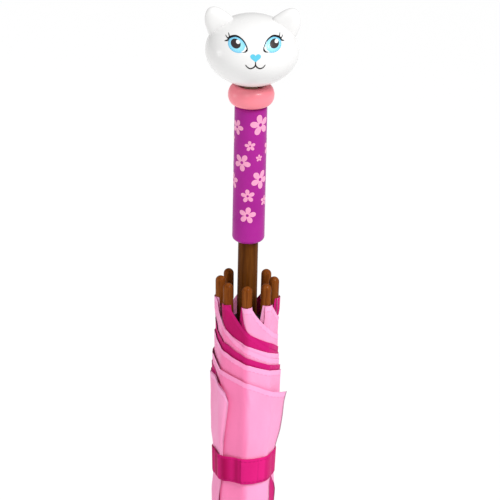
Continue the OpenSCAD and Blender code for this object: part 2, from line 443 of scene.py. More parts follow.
def grid_faces(columns, rows, closed=False):
    """Quads of a grid; point (i, j) has index i * rows + j, and closed joins the last column to the first."""
    last = columns if closed else columns - 1
    faces = []
    for i in range(last):
        for j in range(rows - 1):
            a = i * rows + j
            b = ((i + 1) % columns) * rows + j
            faces.append((a, b, b + 1, a + 1))
    return faces


def tube_faces(columns, rows, closed=False):
    """Quads of a grid of the same order whose columns are each a closed section."""
    last = columns if closed else columns - 1
    faces = []
    for i in range(last):
        near = i * rows
        far = (i + 1) % columns * rows
        for j in range(rows):
            after = (j + 1) % rows
            faces.append((near + j, near + after, far + after, far + j))
    return faces


def disc_faces(count, rings):
    """Faces of a disc: point 0 is its middle, and each ring has count points."""
    faces = [(0, 1 + i, 1 + (i + 1) % count) for i in range(count)]
    for ring in range(rings - 1):
        for i in range(count):
            a = 1 + ring * count + i
            b = 1 + ring * count + (i + 1) % count
            faces.append((a, a + count, b + count, b))
    return faces


def lathe(name, profile, material, steps=96, faces_of=grid_faces):
    """A surface of revolution about Z; profile is (radius, z), and runs upwards or is a closed section."""
    points = [polar(radius, math.tau * i / steps, z) for i in range(steps) for radius, z in profile]
    return mesh_object(name, points, faces_of(steps, len(profile), True), [material])


def arc(radius_x, radius_z, centre_x, centre_z, start, end, steps):
    """Points of an ellipse's arc in the (radius, z) plane; angles in degrees."""
    result = []
    for i in range(steps + 1):
        angle = math.radians(start + (end - start) * i / steps)
        result.append((centre_x + radius_x * math.cos(angle), centre_z + radius_z * math.sin(angle)))
    return result


def curve_point(a, b, c, d, t):
    """The point at share t of the way from b to c, on a smooth curve that also passes through a and d."""
    return tuple(
        0.5 * (2 * q + (r - p) * t + (2 * p - 5 * q + 4 * r - s) * t ** 2 + (3 * q - p - 3 * r + s) * t ** 3)
        for p, q, r, s in zip(a, b, c, d))


def closed_curve(points, steps):
    """A smooth closed curve through the points."""
    count = len(points)
    result = []
    for i in range(count):
        around = [points[(i + d) % count] for d in (-1, 0, 1, 2)]
        result += [curve_point(*around, s / steps) for s in range(steps)]
    return result


def merge(name, patches):
    """One object from patches, each a tuple of its points, faces, UV and material."""
    points = []
    faces = []
    uv = []
    materials = []
    face_materials = []
    for patch_points, patch_faces, patch_uv, material in patches:
        faces += [tuple(len(points) + i for i in face) for face in patch_faces]
        points += patch_points
        uv += patch_uv
        if material not in materials:
            materials.append(material)
        face_materials += [materials.index(material)] * len(patch_faces)
    return mesh_object(name, points, faces, materials, uv, face_materials)


def carry(obj, node=None, body="root"):
    """Fixes a piece to its body and hides the CAD node that it stands for."""
    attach(obj, body)
    if node:
        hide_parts(node)


# ---- camera and light

FLOOR_HALF = 8.0
WORLD_STRENGTH = 0.44
LAMP_TARGET = Vector((0, 0, 0.5))
# Kind, name, place, width (of the sun in radians, of a disk in metres) and power
LAMPS = (
    ("SUN", "key", (0.95, -0.85, 2.0), math.radians(24), 2.6),
    ("AREA", "sparkle", (-0.55, -1.3, 1.5), 0.15, 3),
    ("AREA", "left_fill", (-1.6, -0.1, 0.7), 0.5, 3),
)
SENSOR_WIDTH = 36
FOCAL_LENGTH = 216
CAMERA_AIM = Vector((1.2 * MM, 0, 501 * MM))
CAMERA_DISTANCE = 1.8
CAMERA_ELEVATION = math.radians(22.5)
CAMERA_ROLL = math.radians(1.2)


def make_floor():
    corners = [(x * FLOOR_HALF, y * FLOOR_HALF, 0) for x, y in ((-1, -1), (1, -1), (1, 1), (-1, 1))]
    mat, _, shader = new_material("pale_floor")
    feed(shader, Base_Color=(0.93, 0.93, 0.93, 1), Roughness=0.9)
    mesh_object("floor", corners, [(0, 1, 2, 3)], [mat])


def make_lights():
    """A white surround, a wide sun from the right, and two soft lamps on the left."""
    world = bpy.data.worlds.new("studio")
    world.use_nodes = True
    feed(world.node_tree.nodes["Background"], Color=(1, 1, 1, 1), Strength=WORLD_STRENGTH)
    bpy.context.scene.world = world
    for kind, name, place, width, power in LAMPS:
        light = bpy.data.lights.new(name, kind)
        if kind == "SUN":
            light.angle = width
        else:
            light.shape = "DISK"
            light.size = width
        light.energy = power
        lamp = new_object(name, light)
        lamp.location = place
        lamp.rotation_euler = (LAMP_TARGET - Vector(place)).to_track_quat("-Z", "Y").to_euler()


def make_camera():
    """A long lens, a little above the umbrella's upper end and slightly rolled."""
    data = bpy.data.cameras.new("camera")
    data.sensor_width = SENSOR_WIDTH
    data.lens = FOCAL_LENGTH
    camera = new_object("camera", data)
    back = Vector((0, -math.cos(CAMERA_ELEVATION), math.sin(CAMERA_ELEVATION)))
    camera.location = CAMERA_AIM + back * CAMERA_DISTANCE
    camera.rotation_mode = "QUATERNION"
    camera.rotation_quaternion = Quaternion(back, CAMERA_ROLL) @ (-back).to_track_quat("-Z", "Y")
    bpy.context.scene.camera = camera
    bpy.context.scene.view_settings.view_transform = "Standard"


# ---- canopy cloth

ROLL_IN = PIVOT_R + RIB_BACK + 0.3 * MM
HALF_STEP = RIB_STEP / 2
HALF_TURN = 22.5

# How far each gore's pleat is wrapped round the roll at its hem, in degrees from the gore's middle
WRAP = {1: 310, 2: 249, 3: 327, 4: 283, 5: 300, 6: 262, 7: 305, 8: 278}
# The seams lie this far before the ribs, in degrees, so the cloth of the next gore covers each rib's tip
SEAM_SHIFT = 9.0
# How far a crease stands off the roll, along its length and at its corner, in millimetres
CREASE_LIFT = {
    1: (0.5, 0.6), 2: (0.1, 0), 3: (0.5, 4.4), 4: (0.1, 0),
    5: (0.3, 0.6), 6: (0.1, 0.4), 7: (0.3, 0.6), 8: (0.1, 0.4)
}

# The roll's radius at the crown, what it gains on the way to the hem, and how full its middle is
ROLL_FOOT = 13.2 * MM
ROLL_GAIN = 8.6 * MM
ROLL_BELLY = 2.8 * MM
# How far the strap draws the roll in, and how far from its edges the roll still narrows
PINCH = 1.05 * MM
PINCH_REACH = 14 * MM

# How far the roll's corners lie past the ribs, in degrees, where the cloth has left the tips
CORNER_TURN = {1: 8, 2: -6}
CORNER_ROUNDING = math.radians(4)
# How much of an octagon the roll is along its length, and how much less near the tips
FLATNESS = 0.8
TIP_FLATNESS_LOSS = 0.42

# Folds that all layers share: height in millimetres, waves round the roll, slant in millimetres, phase
RIPPLES = ((0.30, 3, 31, 0.7), (0.22, 5, -19, 2.1), (0.10, 9, 12, 1.3), (0.07, 14, -7.5, 0))
GATHER = 0.32
GATHER_REACH = 16 * MM

FOLD_COLUMNS = 60
FOLD_ROWS = 96
# Where the distance round a pleat is measured for its weave
WEAVE_R = 20 * MM


def rib_axis(z):
    """How far a closed rib's middle line is from the shaft's axis at height z."""
    return PIVOT_R + (z - CROWN_Z) * math.tan(LEAN)


def rib_chord(z):
    """How far from the shaft's axis cloth lies that is stretched flat between two closed ribs' backs."""
    return (rib_axis(z) + RIB_BACK + CLOTH_ON_TIP) * math.cos(HALF_STEP)


def roll_inner(z):
    """Radius just outside the closed ribs at height z."""
    return ROLL_IN + (z - CROWN_Z) * math.tan(LEAN)


def roll_outer(z):
    """Radius of the whole roll at height z: fuller in its middle, and drawn in under the strap."""
    t = (z - FOLD_FOOT) / (CORNER_Z - FOLD_FOOT)
    past_strap = abs(z - STRAP_Z) - (STRAP_HIGH - STRAP_LOW) / 2
    pinch = PINCH * (1 - smooth(past_strap / PINCH_REACH))
    return ROLL_FOOT + ROLL_GAIN * max(0.0, t) ** 1.5 + ROLL_BELLY * t * (1 - t) - pinch


def facet(angle, z):
    """The cloth is taut from corner to corner, so the roll is an octagon, softer near the tips."""
    drift = smooth((CORNER_Z - 10 * MM - z) / (25 * MM))
    corners = [RIB_STEP * k + math.radians(CORNER_TURN.get(k + 1, 0)) * drift for k in range(RIBS)]
    corners.append(corners[0] + math.tau)
    place = (angle - rib_angle(1) - corners[0]) % math.tau + corners[0]
    side = max(k for k in range(RIBS) if corners[k] <= place + 1e-9)
    half = (corners[side + 1] - corners[side]) / 2
    off = abs(place - corners[side] - half)
    off = half - max(0.0, half - off - CORNER_ROUNDING) * half / (half - CORNER_ROUNDING)
    flat = math.cos(half) / math.cos(off)
    amount = FLATNESS - TIP_FLATNESS_LOSS * smooth((z - CORNER_Z + 62 * MM) / (30 * MM))
    return 1 - amount + amount * flat


def round_rib(angle, z):
    """Radius at which cloth passes outside a rib, or the wooden tip on its end; 0 between the ribs."""
    off = (angle - rib_angle(1) + HALF_STEP) % RIB_STEP - HALF_STEP
    on_tip = smooth((z - TIP_LOW + 9 * MM) / (8 * MM))
    thick = RIB_CORNER + (TIP_R + CLOTH_ON_TIP - RIB_CORNER) * on_tip
    across = rib_axis(z) * math.sin(off)
    if abs(across) >= thick:
        return 0.0
    return rib_axis(z) * math.cos(off) + math.sqrt(thick ** 2 - across ** 2)


def chord_radius(angle, z):
    """Radius of the flat cloth between two ribs' backs."""
    return rib_chord(z) / math.cos((angle - rib_angle(1)) % RIB_STEP - HALF_STEP)


def ripple(angle, z):
    """Folds that all the layers share: long slanted ones, and short gathers beside the strap."""
    mm = z / MM
    folds = sum(size * math.sin(count * angle + mm / slant + phase) for size, count, slant, phase in RIPPLES)
    near_strap = math.exp(-abs(z - STRAP_Z) / GATHER_REACH)
    gathers = GATHER * near_strap * math.sin(13 * angle + 1.1 * math.sin(4 * angle) + mm / 40)
    return (folds + gathers) * MM


# A hem falls from its rib by the first drop, quickly or over this many degrees, and then at a slow slope
FIRST_DROP = 15.5
STEEP_DROP = 15.4
STEEP_TURN = 5
OUTER_TURN = 45
INNER_TURN = 60
HEM_SLOPE = 0.175
# Gores whose inner sheet's hem falls slowly from the rib, so it covers the rib's tip
SLOW_HEMS = (1, 2)
# Gores whose two hems lie one on the other once they are wrapped round
CLOSE_HEMS = (1, 3, 5, 6)
CLOSE_RISE = 4.6
# How much lower each gore's hem lies once it has left its rib, in millimetres
LATE_DROPS = {1: -0.5, 2: 1.8, 3: -0.5, 4: 7.0, 5: -0.5, 6: 1.8, 7: -0.5, 8: 1.8}


def seam_turn(layer):
    """Where a sheet starts, in degrees from its gore's middle: the inner sheet at the far seam."""
    return (-HALF_TURN if layer else HALF_TURN) - SEAM_SHIFT


def open_drop(k, turn, layer):
    """Drop of a sheet's hem in millimetres, turn degrees from its own seam, before the crease is closed."""
    slope = HEM_SLOPE * (1 - turn / 1500)
    if layer or k in SLOW_HEMS:
        past = (turn - 16) * smooth((turn - 12) / 12)
        drop = FIRST_DROP * (1 - math.exp(-past / (OUTER_TURN if layer else INNER_TURN))) + slope * past
    else:
        drop = STEEP_DROP * (1 - math.exp(-turn / STEEP_TURN)) + slope * turn
    late = smooth((turn - 59) / 60)
    drop += LATE_DROPS[k] * late
    if k in CLOSE_HEMS and layer:
        drop -= CLOSE_RISE * late
    if k == 1:
        rise_from = 234 + 2 * HALF_TURN if layer else 234
        drop += late * (2.5 - 4.5 * smooth((turn - rise_from) / 39))
    return drop


def hem_drop(k, turn, layer):
    """How far a sheet's hem lies below the rib's corner; both sheets of a pleat meet at its crease."""
    reach = WRAP[k] - seam_turn(layer)
    own_end = open_drop(k, reach, layer)
    meeting = (own_end + open_drop(k, WRAP[k] - seam_turn(1 - layer), 1 - layer)) / 2
    share = turn / reach
    drop = open_drop(k, turn, layer) + (meeting - own_end) * smooth((share - 0.7) / 0.3)
    if k == 1:
        # The free corner of gore 1 droops and is rounded off
        round_off = min(1.0, max(0.0, (share - 0.92) / 0.08))
        drop += 4 * max(0.0, (share - 0.86) / 0.14) ** 2 + 6 * (1 - math.sqrt(1 - round_off ** 2))
    if k == 3:
        drop += 3.5 * smooth((share - 0.75) / 0.25)
    return drop * MM


def wrap_at(k, v):
    """Wrap of pleat k, in degrees, at fraction v of the way from hem to crown; some slip under the strap."""
    wrap = WRAP[k] * (1 - 0.25 * v - 0.75 * v ** 4)
    below_strap = smooth((v - 0.135) / 0.05)
    if k == 1:
        wrap -= 5 * smooth(v / 0.12)
    if k == 2:
        wrap -= 3.5 * smooth(v / 0.1) * (1 - smooth((v - 0.3) / 0.2))
    if k == 3:
        wrap += 12 * smooth(v / 0.06) * (1 - below_strap) - 3 * below_strap * (1 - smooth((v - 0.25) / 0.3))
    if k == 4:
        wrap += 19 * below_strap * (1 - smooth((v - 0.3) / 0.3))
    return wrap


# Between these azimuths, in degrees, painted shade draws the cloth towards its deeper colour, for the roll's
# left facet, which faces away from the light
FACET_SHADE_FROM = 205
FACET_SHADE_TO = 279
FACET_SHADE_MOST = 0.72


def painted_facet_shade(k, angle):
    """Painted shade on the roll's left facet, as a share towards the cloth's deeper colour; gore 1 gets none.
    """
    if k == 1:
        return 0.0
    return FACET_SHADE_MOST * smooth((bearing(angle) - FACET_SHADE_FROM) / 18) * smooth((FACET_SHADE_TO - bearing(angle)) / 7)


def fold_point(k, turn, v, layer):
    """A point of pleat k with its UV and the painted shade on it there.

    It lies turn degrees from its sheet's own seam at the hem; layer 1 is the outer sheet.
    """
    start = seam_turn(layer)
    share = turn / (WRAP[k] - start)
    wrap = start + (wrap_at(k, v) - start) * share
    top = CORNER_Z - hem_drop(k, turn, layer)
    z = top + (FOLD_FOOT - top) * v
    angle = rib_angle(k) + HALF_STEP + math.radians(wrap)
    layer_gap = (roll_outer(z) - roll_inner(z)) / 12
    flat = facet(angle, z)
    innermost = roll_inner(z) * flat + ripple(angle, z)
    innermost = max(innermost, round_rib(angle, z) + 0.3 * MM, chord_radius(angle, z) + 0.15 * MM)
    radius = innermost + layer_gap * flat * ((wrap + HALF_TURN) / HALF_TURN + layer)
    near_crease = smooth((share - 0.84) / 0.16)
    near_hem = math.exp(-v * (top - FOLD_FOOT) / (4 * MM))
    edge, corner = CREASE_LIFT[k]
    held_down = smooth((STRAP_HIGH + 6 * MM - z) / (12 * MM))
    lift = edge * near_crease * (0.4 + 0.6 * layer) * (1 - 0.85 * held_down)
    lift += corner * near_crease ** 1.5 * math.exp(-((top - z) / (14 * MM)) ** 1.3)
    lift += 0.08 * near_hem
    across = math.radians(turn) * WEAVE_R * (1 if layer else -1) * (1 - 0.8 * v)
    return polar(radius + lift * MM, angle, z), (across, top - z), painted_facet_shade(k, angle)


def canopy_material(k):
    """The gores are light and dark in turn."""
    return CANOPY_LIGHT if k % 2 else CANOPY_DARK


def make_fold(k):
    """The cloth of gore k as it lies in the roll: out from rib k to a crease, and back to rib k + 1."""
    steps = [i / FOLD_COLUMNS for i in range(FOLD_COLUMNS + 1)]
    shares = [step ** 1.4 * (4 - step) / 3 for step in steps]
    route = [((WRAP[k] - seam_turn(1)) * share, 1) for share in shares]
    route += [((WRAP[k] - seam_turn(0)) * share, 0) for share in reversed(shares[:-1])]
    heights = [(j / (FOLD_ROWS - 1)) ** 1.15 for j in range(FOLD_ROWS)]
    samples = [fold_point(k, turn, v, layer) for turn, layer in route for v in heights]
    # The third value of each sample is the painted shade on the roll's left facet
    points, uv, painted_shade = zip(*samples)
    faces = grid_faces(len(route), FOLD_ROWS)
    obj = mesh_object("gore_%d_fold" % k, points, faces, [canopy_material(k)], uv)
    set_painted_shade(obj, painted_shade)
    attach(obj, "root")
    return obj


WEB_HALF = 3.3 * MM
WEB_ROWS = 70
WEB_COLUMNS = 20
WEB_FOOT = CROWN_Z + 2 * MM
# How far the hem of the open gore dips towards the crown between two ribs' ends
HEM_DIP = 34 * MM
# Columns that lie on each rib, as shares of the way from the rib to the web's middle part
SLEEVE = (0.0, 0.25, 0.45, 0.7)


def make_web(k):
    """The strip of gore k between ribs k and k + 1 inside the roll."""
    middle = rib_angle(k) + HALF_STEP
    columns = [(-1, share) for share in SLEEVE]
    columns += [(0, WEB_HALF * (2 * unsmooth(i / WEB_COLUMNS) - 1)) for i in range(WEB_COLUMNS + 1)]
    columns += [(1, share) for share in reversed(SLEEVE)]
    points = []
    uv = []
    for index, (side, place) in enumerate(columns):
        part = min(1.0, max(0.0, (index - len(SLEEVE)) / WEB_COLUMNS))
        dip = HEM_DIP * math.sin(math.pi * part) ** 0.8
        for j in range(WEB_ROWS):
            v = (j / (WEB_ROWS - 1)) ** 1.2
            z = CORNER_Z - dip + (WEB_FOOT - CORNER_Z + dip) * v
            chord_r = rib_chord(z)
            half_width = chord_r * math.tan(HALF_STEP)
            across = side * (half_width - (half_width - WEB_HALF) * place) if side else place
            angle = middle + math.atan2(across, chord_r)
            radius = max(math.hypot(chord_r, across), round_rib(angle, z) + 0.05 * MM)
            points.append(polar(radius, angle, z))
            uv.append(((part - 0.5) * 0.7 * (z - CROWN_Z), CORNER_Z - dip - z))
    faces = grid_faces(len(columns), WEB_ROWS)
    obj = mesh_object("gore_%d_web" % k, points, faces, [canopy_material(k)], uv)
    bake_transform(obj)
    return obj


def make_canopy():
    """Each gore: the pleat in the roll, and its web."""
    folds = []
    for k in range(1, RIBS + 1):
        fold = make_fold(k)
        web = make_web(k)
        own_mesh(fold)
        for piece in (fold, web):
            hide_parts("gore_%d" % k)
        folds.append(fold)
    return folds


CENTRE_FOOT = high("top_cap").z + 0.2 * MM
CENTRE_TOP = CROWN_TOP + 3 * MM
CENTRE_R = 13 * MM
CENTRE_ROWS = 16
COLUMNS_PER_GORE = 8


def make_canopy_centre():
    """The middle of the cloth, held round the crown by the top cap."""
    columns = RIBS * COLUMNS_PER_GORE
    height = CENTRE_TOP - CENTRE_FOOT
    points = []
    uv = []
    for i in range(columns):
        angle = rib_angle(1) + math.tau * i / columns
        for j in range(CENTRE_ROWS):
            t = j / (CENTRE_ROWS - 1)
            z = CENTRE_FOOT + height * t
            radius = CROWN_R + (0.4 + 0.5 * t + 0.12 * math.sin(2 * RIBS * angle) * t) * MM
            radius -= 1.3 * MM * smooth((z - CROWN_TOP) / (CENTRE_TOP - CROWN_TOP))
            points.append(polar(radius, angle, z))
            uv.append((angle * CENTRE_R, 0.02 + t * height))
    faces = grid_faces(columns, CENTRE_ROWS, True)
    shades = [index // (CENTRE_ROWS - 1) // COLUMNS_PER_GORE % 2 for index in range(len(faces))]
    obj = mesh_object("canopy_centre", points, faces, [CANOPY_LIGHT, CANOPY_DARK], uv, shades)
    carry(obj)
    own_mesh(obj)


# ---- strap

OUTLINE_BINS = 120
# How many bins to each side the outline takes its furthest point from, and how many it averages over
SPREAD_BINS = 2
SMOOTH_BINS = 3
# The band of cloth that carries each edge of the strap reaches this far to both sides of it
EDGE_REACH = 2.5 * MM
STRAP_GAP = 0.12 * MM
STRAP_THICK = 0.5
# Azimuths in degrees: the middle of the strap's puckered left part, and its tab's free end and hinge
PUCKERED_AT = 222
TAB_FREE = 265.0
TAB_HINGE = 296.0
# Heights above the strap's inner face, in millimetres, of the tab's two faces and the pad's two faces
TAB_FACES = (0.75, 1.25)
PAD_FACES = (0.48, 0.72)


def roll_outline(folds, low_z, high_z):
    """Radius of the roll's outside between two heights, in equal steps of azimuth."""
    far = [0.0] * OUTLINE_BINS
    for fold in folds:
        for vertex in fold.data.vertices:
            x, y, z = vertex.co
            if low_z < z < high_z:
                index = int(math.atan2(y, x) % math.tau / math.tau * OUTLINE_BINS) % OUTLINE_BINS
                far[index] = max(far[index], math.hypot(x, y))

    def around(values, i, reach):
        return [values[(i + d) % OUTLINE_BINS] for d in range(-reach, reach + 1)]

    spread = [max(around(far, i, SPREAD_BINS)) for i in range(OUTLINE_BINS)]
    return [sum(around(spread, i, SMOOTH_BINS)) / (2 * SMOOTH_BINS + 1) for i in range(OUTLINE_BINS)]


def outline_radius(outline, angle):
    """Radius of an outline at any azimuth, between its two nearest bins."""
    place = angle % math.tau / math.tau * OUTLINE_BINS - 0.5
    index = math.floor(place)
    part = place - index
    return outline[index % OUTLINE_BINS] * (1 - part) + outline[(index + 1) % OUTLINE_BINS] * part


def strap_left(angle):
    """1 on the left part of the strap, where it is puckered, and 0 elsewhere."""
    return smooth((math.cos(angle - math.radians(PUCKERED_AT)) - 0.6) / 0.3)


def strap_section(outlines, angle, z):
    """Radius of the strap's inner face at height z: it lies on the roll, with small folds on its left."""
    share = (z - STRAP_LOW) / (STRAP_HIGH - STRAP_LOW)
    on_cloth = outline_radius(outlines[0], angle) * (1 - share) + outline_radius(outlines[1], angle) * share
    folds = 0.18 * MM * strap_left(angle) * (1 + math.sin(25 * angle + 0.6))
    return on_cloth + STRAP_GAP + folds


def strap_painted_shade(angle):
    """Painted shade on the satin: most on the puckered left part, in streaks for its folds, and some past the
    corner on the right, where it faces away from the light.
    """
    past_corner = smooth((bearing(angle) - 307) / 6)
    puckers = 0.7 + 0.3 * math.sin(14 * angle + 1.2)
    return max(0.95 * strap_left(angle) * puckers, 0.4 * past_corner)


def strap_join(angle):
    """1 where the strap meets its free end, falling to 0 further round."""
    past_hinge = bearing(angle) - TAB_HINGE
    return 1 - smooth(past_hinge / 40) if past_hinge >= 0 else 0.0


# A band's section: share of its thickness from the inner face, and of its half height from the middle
BAND_SECTION = (
    (0, -1), (0.5, -1), (1, -0.94), (1, -0.5), (1, 0), (1, 0.5), (1, 0.94), (0.5, 1), (0, 1), (0, 0)
)
BAND_STEP = 1.5


def band_mesh(name, start, end, inner, outer, low_z, high_z):
    """A curved band of satin with rounded edges, between two azimuths in degrees."""
    steps = int(abs(end - start) / BAND_STEP)
    half = (high_z - low_z) / 2
    middle = (high_z + low_z) / 2
    points = []
    uv = []
    for i in range(steps + 1):
        angle = math.radians(start + (end - start) * i / steps)
        for depth, height in BAND_SECTION:
            z = middle + half * height
            radius = inner(angle, z) + (outer(angle, z) - inner(angle, z)) * depth
            points.append(polar(radius, angle, z))
            uv.append((angle * STRAP_R, half - abs(z - middle)))
    size = len(BAND_SECTION)
    faces = tube_faces(steps + 1, size)
    faces.append(tuple(range(size - 1, -1, -1)))
    faces.append(tuple(range(steps * size, (steps + 1) * size)))
    obj = mesh_object(name, points, faces, [STRAP_SATIN], uv)
    for polygon in obj.data.polygons[-2:]:
        polygon.use_smooth = False
    # Painted shade on the satin, stored on the points for the material
    set_painted_shade(obj, [strap_painted_shade(math.atan2(point.y, point.x)) for point in points])
    return obj


def make_strap(folds):
    """The strap round the roll, its free end and the fastener's pad."""
    outlines = [roll_outline(folds, z - EDGE_REACH, z + EDGE_REACH) for z in (STRAP_LOW, STRAP_HIGH)]

    def above(height):
        return lambda angle, z: strap_section(outlines, angle, z) + height * MM

    def strap_top(angle, z):
        thick = STRAP_THICK + TAB_FACES[0] * strap_join(angle)
        return strap_section(outlines, angle, z) + thick * MM

    strap = band_mesh("strap_band", TAB_HINGE - 360, TAB_HINGE, above(0), strap_top, STRAP_LOW, STRAP_HIGH)
    tab = band_mesh("strap_end", TAB_FREE, TAB_HINGE, *(above(height) for height in TAB_FACES),
                    STRAP_LOW + 0.05 * MM, STRAP_HIGH - 0.05 * MM)
    pad = band_mesh("fastener_pad", TAB_FREE + 2, TAB_FREE + 16, *(above(height) for height in PAD_FACES),
                    STRAP_LOW + 2.5 * MM, STRAP_HIGH - 2.5 * MM)
    carried = ((strap, "strap", "rib_1"), (tab, "strap_tab", "strap_tab"), (pad, "strap_pad", "rib_1"))
    for piece, node, body in carried:
        carry(piece, node, body)
        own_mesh(piece)


# ---- handle, ring and head

HANDLE_EDGE = 2.6 * MM
HANDLE_BORE = 4.4 * MM
COLLAR_MIDDLE = 9.4 * MM


def make_handle():
    """The lacquered grip with rounded ends."""
    edge = HANDLE_EDGE
    straight = HANDLE_HIGH - HANDLE_LOW - 2 * edge
    profile = [(high("shaft").x, HANDLE_LOW + 0.4 * MM), (HANDLE_R - edge - 1 * MM, HANDLE_LOW)]
    profile += arc(edge, edge, HANDLE_R - edge, HANDLE_LOW + edge, -90, 0, 10)
    profile += [(HANDLE_R, HANDLE_LOW + edge + straight * i / 30) for i in range(1, 30)]
    profile += arc(edge, edge, HANDLE_R - edge, HANDLE_HIGH - edge, 0, 90, 10)
    profile.append((HANDLE_BORE, HANDLE_HIGH))
    carry(lathe("handle_grip", profile, HANDLE_PAINT), "handle")


# Flowers on the grip: azimuth from the front in degrees, distance below the grip's top and radius in
# millimetres, and turn in degrees
FLOWERS = [
    (37, 10.2, 6.5, -10), (-54, 12.4, 4.8, 20), (0, 23.0, 3.3, -8), (34, 30.9, 2.2, 0), (-29, 33.8, 5.5, 30),
    (40, 44.6, 6.0, 30), (-74, 47.0, 5.0, 0), (-5, 54.6, 4.3, -6), (64, 59.0, 3.2, 10), (-5, 66.9, 5.3, 8),
    (88, 26.0, 5.0, 12), (-88, 20.5, 3.4, 5)
]
# The flowers at the back lie in three uneven columns between these heights, and their sizes take turns
BACK_FLOWERS = 14
BACK_COLUMNS = (182, 128, 236)
BACK_SIZES = (3.2, 5.6, 2.4, 4.8)
BACK_TOP = 7
BACK_HEIGHT = 74
FLOWER_STEPS = 60
FLOWER_RINGS = 7


def petals(angle):
    """Outline of five petals, as a share of the flower's radius."""
    return 0.31 + 0.69 * abs(math.cos(2.5 * angle)) ** 0.72


def dot(angle):
    """Outline of the round dot in a flower's middle."""
    return 0.17


def flower_patch(flower, outline, lift, material):
    """A patch of paint printed round the grip."""
    azimuth, below, radius, turn = flower
    middle = math.radians(azimuth) - math.pi / 2
    height = HANDLE_HIGH - below * MM
    points = [polar(HANDLE_R + lift, middle, height)]
    for ring in range(1, FLOWER_RINGS + 1):
        for i in range(FLOWER_STEPS):
            angle = math.tau * i / FLOWER_STEPS
            reach = radius * MM * outline(angle) * ring / FLOWER_RINGS
            angle += math.radians(turn)
            round_grip = middle + reach * math.sin(angle) / HANDLE_R
            points.append(polar(HANDLE_R + lift, round_grip, height + reach * math.cos(angle)))
    return points, disc_faces(FLOWER_STEPS, FLOWER_RINGS), [(0, 0)] * len(points), material


def make_flowers():
    """The printed flowers: those in front where they are seen, and a scatter of the same kinds round the back.
    """
    flowers = list(FLOWERS)
    for i in range(BACK_FLOWERS):
        azimuth = BACK_COLUMNS[i % 3] + 6 * math.sin(1.7 * i)
        below = BACK_TOP + BACK_HEIGHT * (i + 0.5) / BACK_FLOWERS
        flowers.append((azimuth, below, BACK_SIZES[i % 4], 37 * i))
    layers = (
        ("handle_flowers", petals, 0.05 * MM, PETAL_PAINT),
        ("handle_flower_dots", dot, 0.09 * MM, HANDLE_PAINT),
    )
    for name, *look in layers:
        carry(merge(name, [flower_patch(flower, *look) for flower in flowers]))


def make_collar():
    """The turned ring: a rounded section, open in the middle round the neck."""
    top = high("collar_ring")
    foot = low("collar_ring").z
    section = arc(
        top.x - COLLAR_MIDDLE, (top.z - foot) / 2, COLLAR_MIDDLE, (top.z + foot) / 2, -180, 180, 48)[:-1]
    carry(lathe("collar", section, COLLAR_PAINT, faces_of=tube_faces), "collar_ring")


def make_head():
    """The flattened ball, open at its foot over the neck."""
    profile = [(max(r, 0.02 * MM), z) for r, z in arc(HEAD_A, HEAD_C, 0, HEAD_Z, -81, 90, 60)]
    carry(lathe("cat_head", profile, HEAD_PAINT, 128), "head")


# An ear's outline and its middle from the head's centre, in millimetres: half of it is sunk in the head
EAR_OUTLINE = [
    (25.2, 8.2), (27.4, 13.0), (28.5, 17.9), (27.9, 22.6), (26.1, 25.2), (23.6, 26.2), (20.8, 25.8),
    (17.9, 24.4), (15.0, 22.4), (12.0, 20.0), (10.5, 15.5), (15.0, 10.0), (21.0, 6.5)
]
EAR_MIDDLE = (20.5, 16.0)
EAR_HALF_THICK = 4.3
EAR_ROUNDNESS = 2.4
EAR_RINGS = 14


def make_ear(side, name, node):
    """A flat rounded ear, thicker in its middle: rings from its front's middle over its rim to its back's."""
    outline = closed_curve([(x * HEAD_FIT, z * HEAD_FIT) for x, z in EAR_OUTLINE], 6)
    count = len(outline)
    middle_x, middle_z = EAR_MIDDLE
    points = []
    for ring in range(2 * EAR_RINGS + 1):
        t = math.sin(math.pi / 2 * ring / EAR_RINGS)
        bulge = (1 - t ** EAR_ROUNDNESS) ** (1 / EAR_ROUNDNESS)
        depth = EAR_HALF_THICK * bulge * MM * (-1 if ring < EAR_RINGS else 1)
        on_middle = ring in (0, 2 * EAR_RINGS)
        for x, z in [EAR_MIDDLE] if on_middle else outline:
            across = side * (middle_x + (x - middle_x) * t) * MM
            points.append((across, depth, HEAD_Z + (middle_z + (z - middle_z) * t) * MM))
    faces = [tuple(1 + i for i in face) for face in tube_faces(2 * EAR_RINGS - 1, count)]
    back = len(points) - 1
    for i in range(count):
        n = (i + 1) % count
        faces.append((0, 1 + n, 1 + i))
        faces.append((back, back - count + i, back - count + n))
    carry(mesh_object(name, points, faces, [HEAD_PAINT]), node)


# ---- painted face

FACE_TURN = math.radians(4.5)
PATCH_RINGS = 8
STROKE_STEPS = 8


def on_face(x, z, lift):
    """The point of the head's front at x and z from its centre, in millimetres, lifted off it."""
    x *= MM
    z *= MM
    depth = HEAD_A * math.sqrt(max(0.0, 1 - (x / HEAD_A) ** 2 - (z / HEAD_C) ** 2))
    normal = Vector((x / HEAD_A ** 2, -depth / HEAD_A ** 2, z / HEAD_C ** 2)).normalized()
    point = Vector((x, -depth, z)) + normal * lift
    turned = Vector((point.x * math.cos(FACE_TURN) - point.y * math.sin(FACE_TURN),
                     point.x * math.sin(FACE_TURN) + point.y * math.cos(FACE_TURN), point.z))
    return turned + Vector((0, 0, HEAD_Z))


def face_patch(centre, outline, lift, material):
    """A painted patch: an outline round a centre, in millimetres on the face."""
    count = len(outline)
    points = [on_face(*centre, lift)]
    uv = [(0.0, 0.0)]
    for ring in range(1, PATCH_RINGS + 1):
        t = ring / PATCH_RINGS
        for i, (x, z) in enumerate(outline):
            points.append(on_face(centre[0] + x * t, centre[1] + z * t, lift))
            uv.append((i / count, t))
    return points, disc_faces(count, PATCH_RINGS), uv, material


def ellipse(rx, rz, count=48):
    return [(rx * math.cos(math.tau * i / count), rz * math.sin(math.tau * i / count)) for i in range(count)]


